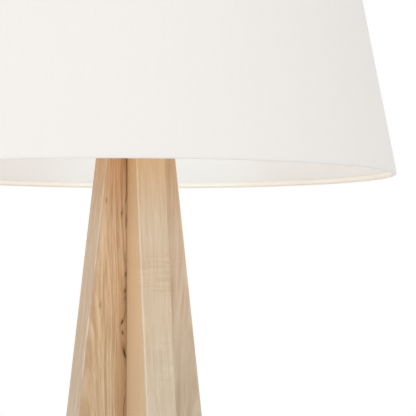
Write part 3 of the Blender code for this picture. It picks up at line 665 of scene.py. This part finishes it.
def make_cloth():
    """One strip of cloth round the shade, lapped at the seam, both edges turned in."""
    upper, hem_points = edge_line(SHADE_TOP, -1)
    lower, _ = edge_line(RIM_Z, 1)
    low_wall = Vector(lower[-1])
    high_wall = Vector(upper[-1])
    wall = [tuple(high_wall.lerp(low_wall, step / 12)) for step in range(1, 12)]
    line = upper + wall + list(reversed(lower))
    rows = len(line)
    outward = outward_normals(line)

    bm = bmesh.new()
    columns = []
    for column in range(SHADE_COLUMNS + LAP_COLUMNS + 1):
        turn = SEAM_ANGLE + math.tau * column / SHADE_COLUMNS
        rise = LAP_RISE if column >= SHADE_COLUMNS else 0.0
        verts = []
        for (radius, z), normal in zip(line, outward):
            out = radius + normal.x * rise + unevenness(turn, z)
            point = (out * math.cos(turn), out * math.sin(turn), z + normal.y * rise)
            verts.append(bm.verts.new(point))
        columns.append(verts)
    slits = set()                       # columns of the upper hem that an arm goes through
    for angle in ARM_ANGLES:
        share = (angle - SEAM_ANGLE) % math.tau / math.tau
        slits.add(round(share * SHADE_COLUMNS - 0.5))
    for column, (first, second) in enumerate(zip(columns, columns[1:])):
        for row in range(rows - 1):
            if column % SHADE_COLUMNS in slits and row < hem_points - 3:
                continue
            face = bm.faces.new((first[row], first[row + 1], second[row + 1], second[row]))
            in_hem = row < hem_points or row >= rows - 1 - hem_points
            face.material_index = 1 if in_hem else 0
    mesh = bpy.data.meshes.new("shade_cloth")
    bm.to_mesh(mesh)
    bm.free()
    mesh.materials.append(CLOTH)
    mesh.materials.append(HEM_CLOTH)
    mesh.shade_smooth()
    cloth = add_piece("shade_cloth", mesh, CLOTH, "white_cloth", "shade", "shade_fabric")
    solid = cloth.modifiers.new("thickness", "SOLIDIFY")
    solid.thickness = FABRIC
    solid.offset = 0.0
    solid.use_even_offset = True
    solid.use_quality_normals = True

    slant = (SHADE_TOP - RIM_Z) / math.cos(math.atan(SHADE_SLOPE))
    wall_area = math.pi * (shade_radius(RIM_Z) + shade_radius(SHADE_TOP)) * slant
    hem_area = math.tau * (shade_radius(RIM_Z) + shade_radius(SHADE_TOP)) * HEM_CUT
    wall_area + hem_area


def make_lining():
    """The stiff cone that the cloth is stretched on."""
    low = RIM_Z + FABRIC + GAP
    high = SHADE_TOP - FABRIC - GAP
    outside = FABRIC + GAP
    rows = 12
    bm = bmesh.new()
    rings = []
    for depth, order in ((outside, range(rows + 1)), (outside + LINER, range(rows, -1, -1))):
        for row in order:
            z = low + (high - low) * row / rows
            verts = []
            for column in range(SHADE_COLUMNS):
                turn = SEAM_ANGLE + math.tau * column / SHADE_COLUMNS
                out = shade_radius(z) - depth + unevenness(turn, z)
                verts.append(bm.verts.new((out * math.cos(turn), out * math.sin(turn), z)))
            rings.append(verts)
    bridge(bm, rings, closed=True)
    add_piece("shade_lining", smooth_mesh(bm, "shade_lining"), LINING, "white_styrene", "shade",
              "shade_liner")


def make_fitter():
    """Upper ring, three arms with their weld beads, and the washer in the middle."""
    ring_z = SHADE_TOP - WIRE_INSET
    reach = shade_radius(ring_z) - WIRE_DEPTH
    thickness = 0.0016
    washer_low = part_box("finial")[0].z - GAP - thickness
    washer_high = washer_low + thickness
    hub_z = (washer_low + washer_high) / 2
    arm_wire = 0.0013
    arm_tip = 0.0009
    bm = bmesh.new()
    ring_path = []
    for step in range(180):
        turn = math.tau * step / 180
        ring_path.append((reach * math.cos(turn), reach * math.sin(turn), ring_z))
    rod(bm, ring_path, RING_WIRE, 12, closed=True)
    for angle in ARM_ANGLES:
        out = Vector((math.cos(angle), math.sin(angle), 0.0))
        inner = out * 0.0100 + UP * hub_z
        knee = out * (reach - 0.0180) + UP * hub_z
        tip = out * reach + UP * ring_z
        bend = interpolate_bezier(knee, knee + out * 0.008, tip - out * 0.008, tip, 9)
        rod(bm, [inner] + bend, arm_wire, 12, tip_radius=arm_tip)
        beads = ((inner + out * 0.0022, 0.0017), (tip - out * 0.0008, 0.0015))
        for point, bead_radius in beads:
            bmesh.ops.create_uvsphere(bm, u_segments=12, v_segments=8, radius=bead_radius,
                                      matrix=Matrix.Translation(point))
    outer, bore = 0.0125, 0.0036
    washer = [(outer, washer_high), (outer, washer_low), (bore, washer_low), (bore, washer_high)]
    turn_profile(bm, soften(washer, 0.0004, closed=True), 64, closed=True)
    add_piece("shade_fitter", smooth_mesh(bm, "shade_fitter"), WHITE_WIRE, "white_wire", "shade",
              "spider_fitter")


# ---- hardware ---------------------------------------------------------------

TO_FRONT = Matrix.Rotation(math.pi / 2, 4, "X")     # turns +Z to the lamp's front


def make_finial():
    """A turned knob with a blind hole for the stud."""
    bore = 0.0034
    depth = 0.0130
    profile = [
        (0.0, 0.0330), (0.0030, 0.0322), (0.0056, 0.0298), (0.0066, 0.0262), (0.0056, 0.0226),
        (0.0036, 0.0204), (0.0034, 0.0188), (0.0056, 0.0176), (0.0064, 0.0160), (0.0056, 0.0144),
        (0.0060, 0.0060), (0.0085, 0.0030), (0.0090, 0.0012), (0.0084, 0.0000), (bore, 0.0000),
        (bore, depth), (0.0, depth),
    ]
    place = Matrix.Translation((0.0, 0.0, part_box("finial")[0].z))
    mesh = turned("finial_turned", soften(profile, 0.0014, 5), 64, place=place)
    add_piece("finial_turned", mesh, NICKEL, "satin_nickel", "finial", "finial")


def make_harp():
    """The bow in one bent wire, with its flat seat for the stud."""
    low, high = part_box("harp_bow")
    sleeve_low, sleeve_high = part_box("harp_sleeve_left")
    wire = 0.0016
    straight_length = 0.0217
    widest_below_seat = 0.1201
    half_seat = 0.0025
    foot_x = abs(sleeve_low.x + sleeve_high.x) / 2
    seat_z = high.z - half_seat
    foot = Vector((foot_x, 0.0, low.z))
    straight = Vector((foot_x, 0.0, low.z + straight_length))
    widest = Vector((high.x - wire, 0.0, seat_z - widest_below_seat))
    top = Vector((0.0, 0.0, seat_z))
    by_top = Vector((0.030, 0.0, seat_z))
    lower = interpolate_bezier(straight, straight + UP * 0.032, widest - UP * 0.030, widest, 16)
    upper = interpolate_bezier(widest, widest + UP * 0.072, by_top, top, 24)
    half = [foot] + lower + upper[1:]
    path = half + [Vector((-point.x, 0.0, point.z)) for point in reversed(half[:-1])]
    bm = bmesh.new()
    rod(bm, path, wire, 16)
    outer, bore = 0.0080, 0.0028
    seat_low, seat_high = seat_z - half_seat, seat_z + half_seat
    seat = [(outer, seat_high), (outer, seat_low), (bore, seat_low), (bore, seat_high)]
    turn_profile(bm, soften(seat, 0.0008, closed=True), 48, closed=True)
    add_piece("harp_wire", smooth_mesh(bm, "harp_wire"), NICKEL, "satin_nickel", "base", "harp_bow")


def make_sleeves():
    """Brass tubes that lock the harp's legs, with a small bead at each end."""
    for side in ("left", "right"):
        node = "harp_sleeve_" + side
        low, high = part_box(node)
        middle = (low + high) / 2
        tall = high.z - low.z
        profile = [
            (0.0021, tall), (0.0033, tall), (0.0035, tall - 0.0004), (0.0034, tall - 0.0030),
            (0.0034, 0.0030), (0.0035, 0.0004), (0.0033, 0.0), (0.0021, 0.0),
        ]
        place = Matrix.Translation((middle.x, 0.0, low.z))
        mesh = turned(node + "_tube", soften(profile, 0.0003, closed=True), 40, True, place)
        add_piece(node + "_tube", mesh, BRASS, "brass", "sleeve_" + side, node)


def make_holder():
    """Spun brass cap and shell, with their rolled beads."""
    cap = [
        (0.0174, 0.0203), (0.0174, 0.0150), (0.0170, 0.0136), (0.0160, 0.0118), (0.0140, 0.0102),
        (0.0115, 0.0088), (0.0092, 0.0080), (0.0085, 0.0075), (0.0080, 0.0060), (0.0080, 0.0000),
        (0.0053, 0.0000), (0.0053, 0.0100), (0.0098, 0.0104), (0.0148, 0.0134), (0.0166, 0.0163),
        (0.0166, 0.0203),
    ]
    shell = [
        (0.0168, 0.0643), (0.0168, 0.0628), (0.0163, 0.0618), (0.0163, 0.0560),
        (0.01655, 0.0555), (0.01655, 0.0545), (0.0163, 0.0540), (0.0163, 0.0425),
        (0.01655, 0.0420), (0.01655, 0.0410), (0.0163, 0.0405), (0.0163, 0.0166),
        (0.0157, 0.0166), (0.0157, 0.0643),
    ]
    place = Matrix.Translation((0.0, 0.0, SOCKET_Z))
    mesh = turned("holder_cap", soften(cap, 0.0008, closed=True), 72, True, place)
    add_piece("holder_cap", mesh, BRASS, "brass", "base", "socket_cap")
    mesh = turned("holder_shell", soften(shell, 0.0003, closed=True), 72, True, place)
    tube = add_piece("holder_shell", mesh, BRASS, "brass", "base", "socket_shell")
    cut_window(tube)


def cut_window(tube):
    """Cuts the round hole for the switch's shaft into the front of the shell."""
    radius = 0.0030
    depth = 0.013
    middle_y = -0.0185
    place = Matrix.Translation((0.0, middle_y, SHAFT_Z)) @ TO_FRONT
    bm = bmesh.new()
    bmesh.ops.create_cone(bm, cap_ends=True, segments=40, radius1=radius, radius2=radius,
                          depth=depth, matrix=place)
    mesh = bpy.data.meshes.new("window")
    bm.to_mesh(mesh)
    bm.free()
    cutter = add_object("window", mesh)
    hole = tube.modifiers.new("window", "BOOLEAN")
    hole.object = cutter
    graph = bpy.context.evaluated_depsgraph_get()
    opened = bpy.data.meshes.new_from_object(tube.evaluated_get(graph), depsgraph=graph)
    opened.set_sharp_from_angle(angle=SHARP)
    tube.modifiers.clear()
    tube.data = opened
    bpy.data.objects.remove(cutter)


def make_knob():
    """A moulded knob: a round hub with a flat grip across its end."""
    place = Matrix.Translation((0.0, 0.0, SHAFT_Z)) @ TO_FRONT
    hub = [
        (0.0, 0.0365), (0.0040, 0.0365), (0.0050, 0.0355), (0.0054, 0.0225), (0.0019, 0.0225),
        (0.0019, 0.0338), (0.0, 0.0338),
    ]
    bm = bmesh.new()
    turn_profile(bm, soften(hub, 0.0006), 48, place=place)
    width, thickness, length, middle = 0.0170, 0.0042, 0.0125, 0.03225
    size = Matrix.Diagonal((width, thickness, length, 1.0))
    grip = bmesh.new()
    bmesh.ops.create_cube(grip, size=1.0, matrix=Matrix.Translation((0.0, 0.0, middle)) @ size)
    bmesh.ops.bevel(grip, geom=grip.edges, offset=0.0016, segments=5, profile=0.5, affect="EDGES")
    bmesh.ops.transform(grip, matrix=place, verts=grip.verts)
    mesh = bpy.data.meshes.new("grip")
    grip.to_mesh(mesh)
    grip.free()
    bm.from_mesh(mesh)
    add_piece("knob_moulded", smooth_mesh(bm, "knob_moulded"), BLACK_PLASTIC, "black_plastic",
              "switch", "switch_knob")


def make_bulb():
    """The hollow glass, from its crown to the neck, and then its screw cap."""
    crown = 0.1100
    globe = 0.0300
    neck = 0.0110
    wall = 0.0008
    centre = crown - globe
    lowest = -30                        # degrees, where the globe leaves its circle
    outside = [(0.0, crown)]
    for degrees in range(84, lowest - 1, -6):
        turn = math.radians(degrees)
        outside.append((globe * math.cos(turn), centre + globe * math.sin(turn)))
    last = Vector(outside[-1])
    turn = math.radians(lowest)
    inwards = Vector((math.sin(turn), -math.cos(turn)))
    collar = Vector((neck, 0.0300))
    above_collar = collar + Vector((0.0, 0.0100))
    sweep = interpolate_bezier(last, last + inwards * 0.0100, above_collar, collar, 14)
    outside += [(point.x, point.y) for point in sweep[1:]] + [(neck, 0.0200)]
    inside = []
    for radius, z in reversed(outside[1:]):
        in_crown = radius < 0.02 and z > centre
        inside.append((max(radius - wall, 0.0), z - wall if in_crown else z))
    inside.append((0.0, crown - wall))
    place = Matrix.Translation((0.0, 0.0, BULB_TIP))
    mesh = turned("bulb_envelope", outside + inside, 72, place=place)
    envelope = add_piece("bulb_envelope", mesh, FROSTED, "frosted_glass", "bulb", "bulb_glass")
    envelope.visible_shadow = False
    make_screw_cap(place, neck)


def make_screw_cap(place, neck):
    """The bulb's thin metal cap: its thread is a true helix that fades out at both ends."""
    low = 0.0048
    thread_high = 0.0250
    thread_radius = 0.01225
    thread_depth = 0.00045
    turns = 4
    segments = 72
    rows = 80
    faded_rows = 8
    bm = bmesh.new()
    rings = []
    for row in range(rows + 1):
        z = low + (thread_high - low) * row / rows
        fade = min(row / faded_rows, (rows - row) / faded_rows, 1.0)
        verts = []
        for step in range(segments):
            turn = math.tau * step / segments
            phase = turns * math.tau * (z - low) / (thread_high - low) - turn
            radius = thread_radius + thread_depth * math.cos(phase) * fade
            point = Vector((radius * math.cos(turn), radius * math.sin(turn), z))
            verts.append(bm.verts.new(place @ point))
        rings.append(verts)
    inner = neck + GAP
    plain = [(0.0124, 0.0258), (0.0130, 0.0272), (0.0134, 0.0288), (inner, 0.0288), (inner, low)]
    rings += [circle(bm, radius, z, segments, place) for radius, z in plain]
    bridge(bm, rings, closed=True)
    add_piece("bulb_screw_cap", smooth_mesh(bm, "bulb_screw_cap"), ALUMINIUM, "aluminium", "bulb",
              "bulb_base")


def make_bushing():
    """A moulded collar on the pipe's lower end, with a rounded mouth for a cord."""
    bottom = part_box("cord_bushing")[0].z
    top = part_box("cord_bushing")[1].z
    grip = 0.0053
    throat = 0.0032
    seat = bottom + 0.0080 - GAP
    outline = [
        (0.0073, top), (0.0078, bottom + 0.0090), (0.0088, bottom + 0.0070),
        (0.0090, bottom + 0.0030), (0.0082, bottom + 0.0010), (0.0062, bottom),
        (0.0042, bottom + 0.0010), (throat, bottom + 0.0030), (throat, seat), (grip, seat),
        (grip, top),
    ]
    mesh = turned("bushing_moulded", soften(outline, 0.0010, 4, True), 56, True)
    add_piece("bushing_moulded", mesh, BLACK_PLASTIC, "black_plastic", "base", "cord_bushing")


def make_pads():
    """Felt pads with cut corners and softened edges."""
    for side in LEG_ANGLES:
        node = "foot_pad_" + side
        low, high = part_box(node)
        bm = bmesh.new()
        size = Matrix.Diagonal((*(high - low), 1.0))
        bmesh.ops.create_cube(bm, size=1.0, matrix=Matrix.Translation((low + high) / 2) @ size)
        bmesh.ops.bevel(bm, geom=[edge for edge in bm.edges if height_change(edge) > 0.001],
                        offset=0.0030, segments=6, profile=0.5, affect="EDGES")
        bmesh.ops.bevel(bm, geom=[edge for edge in bm.edges if height_change(edge) < 0.001],
                        offset=0.0007, segments=3, profile=0.5, affect="EDGES")
        mesh = smooth_mesh(bm, node + "_felt")
        add_piece(node + "_felt", mesh, FELT, "felt", "base", node)


def height_change(edge):
    return abs(edge.verts[0].co.z - edge.verts[1].co.z)


# ---- CAD nodes that stay ----------------------------------------------------

def paint_node(node, material):
    """Gives a CAD node its material. The node itself stays as it is."""
    mesh = NODES[node].data
    for index in range(len(mesh.materials)):
        mesh.materials[index] = material
    if not mesh.materials:
        mesh.materials.append(material)


def paint_frame():
    """Materials for all the CAD nodes that no new piece stands for."""
    kept = {
        "centre_post": CORE_WOOD, "lamp_pipe": STEEL, "bottom_washer": STEEL, "bottom_nut": STEEL,
        "top_nut": STEEL, "top_plate": NICKEL, "harp_saddle": NICKEL, "harp_stud": BRASS,
        "cap_set_screw": STEEL, "socket_insulator": FIBRE, "socket_body": PHENOLIC,
        "screw_shell": ALUMINIUM, "centre_contact": BRASS, "terminal_screw_left": BRASS,
        "terminal_screw_right": BRASS, "switch_shaft": BRASS, "bulb_insulator": BLACK_GLASS,
        "bulb_contact": SOLDER, "shade_ring_bottom": WHITE_WIRE,
    }
    for side, material in WOODS.items():
        kept["leg_" + side] = material
        kept["plate_screw_" + side] = STEEL
        for level in ("low", "high"):
            kept[f"leg_dowel_{side}_{level}"] = DOWEL_WOOD
    for node, material in kept.items():
        paint_node(node, material)


# ---- studio -----------------------------------------------------------------

FLOOR_RADIUS = 7.2


def level_direction(degrees):
    """Level direction out from the lamp, so many degrees to the right of its front."""
    turn = math.radians(degrees)
    return Vector((math.sin(turn), -math.cos(turn), 0.0))


def add_camera():
    """Level with the shade's lower edge and to the left of the front leg, turned so that
    the lamp stands left of centre."""
    distance = 1.500
    height = 1.1147
    turn_right = math.radians(2.668)
    tilt_up = math.radians(2.077)
    roll = Quaternion((0.0, 0.0, 1.0), math.radians(0.138))
    out = level_direction(-23.21)
    level = Matrix.Rotation(-turn_right, 3, "Z") @ -out
    forward = level * math.cos(tilt_up) + Vector((0.0, 0.0, math.sin(tilt_up)))
    data = bpy.data.cameras.new("camera")
    data.sensor_width = 36.0
    data.lens = 134.9
    camera = add_object("camera", data)
    camera.location = out * distance + Vector((0.0, 0.0, height))
    camera.rotation_mode = "QUATERNION"
    camera.rotation_quaternion = forward.to_track_quat("-Z", "Y") @ roll
    bpy.context.scene.camera = camera


def add_light(name, kind, power, colour, place, aim=None, **settings):
    """A light at a place, which shines at aim if there is one."""
    data = bpy.data.lights.new(name, kind)
    data.energy = power
    data.color = colour
    for key, value in settings.items():
        setattr(data, key, value)
    light = add_object(name, data)
    light.location = place
    if aim is not None:
        light.rotation_mode = "QUATERNION"
        light.rotation_quaternion = (aim - light.location).to_track_quat("-Z", "Y")


def add_key():
    """The large soft lamp of the studio, high up on the left."""
    turn = math.radians(-50.0)
    distance = 3.2
    place = (distance * math.sin(turn), -distance * math.cos(turn), 2.4)
    add_light("key", "AREA", 15.2, (1.0, 0.98, 0.96), place, Vector((0.0, 0.0, 1.1)),
              shape="DISK", size=2.2)


def add_bulb_light():
    """The lit bulb's light, at the middle of its globe. The frosted glass lets it out."""
    place = (0.0, 0.0, BULB_TIP + 0.080)
    add_light("bulb_light", "POINT", 0.50, (1.0, 0.965, 0.93), place, shadow_soft_size=0.025)


def add_inner_fill():
    """Cool daylight that comes in under the shade and falls on the middle of its lining."""
    out = level_direction(151.0)
    place = out * 0.045 + Vector((0.0, 0.0, RIM_Z + 0.075))
    aim = out * SHADE_RADIUS + Vector((0.0, 0.0, RIM_Z + 0.02))
    add_light("inner_fill", "SPOT", 0.20, (0.62, 0.92, 1.0), place, aim,
              shadow_soft_size=0.02, spot_size=math.radians(84.0), spot_blend=1.0)


def add_world(ambient):
    """White behind the lamp, and a softer white as its light."""
    world = bpy.data.worlds.new("studio")
    bpy.context.scene.world = world
    world.use_nodes = True
    nodes = world.node_tree.nodes
    links = world.node_tree.links
    backdrop = nodes["Background"]
    backdrop.inputs["Color"].default_value = (1.0, 1.0, 1.0, 1.0)
    glow = nodes.new("ShaderNodeBackground")
    glow.inputs["Color"].default_value = (1.0, 0.995, 0.99, 1.0)
    glow.inputs["Strength"].default_value = ambient
    rays = nodes.new("ShaderNodeLightPath")
    mixer = nodes.new("ShaderNodeMixShader")
    links.new(rays.outputs["Is Camera Ray"], mixer.inputs[0])
    links.new(glow.outputs[0], mixer.inputs[1])
    links.new(backdrop.outputs[0], mixer.inputs[2])
    links.new(mixer.outputs[0], nodes["World Output"].inputs["Surface"])


def add_floor():
    """Pale floor whose far part glows up to the backdrop's white, so no edge shows."""
    bm = bmesh.new()
    bmesh.ops.create_circle(bm, cap_ends=True, segments=96, radius=FLOOR_RADIUS)
    floor = add_object("floor", smooth_mesh(bm, "floor"))
    paint = Paint("floor_paint", Specular_IOR_Level=0.2)
    cloud = paint.noise(paint.place, 3.0, 4.0, 0.6)
    speck = paint.noise(paint.place, 240.0, 2.0, 0.5)
    tint = paint.mix(cloud * 0.4 + speck * 0.2, (0.88, 0.875, 0.865), (0.84, 0.83, 0.82))
    away = (paint.x * paint.x + paint.y * paint.y) ** 0.5
    paint.shader.inputs["Emission Color"].default_value = (1.0, 1.0, 1.0, 1.0)
    glow = paint.smooth(away, 1.6, FLOOR_RADIUS - 0.8) * 0.28
    paint.join(glow, paint.shader.inputs["Emission Strength"])
    floor.data.materials.append(paint.finish(tint, 0.75 + (speck - 0.5) * 0.1))


def add_studio():
    bpy.context.scene.view_settings.view_transform = "Standard"
    add_world(0.88)
    add_key()
    add_bulb_light()
    add_inner_fill()
    add_floor()


# ---- the lamp ---------------------------------------------------------------

add_camera()
add_studio()
paint_frame()
make_lining()
make_cloth()
make_fitter()
make_finial()
make_harp()
make_sleeves()
make_holder()
make_knob()
make_bulb()
make_bushing()
make_pads()
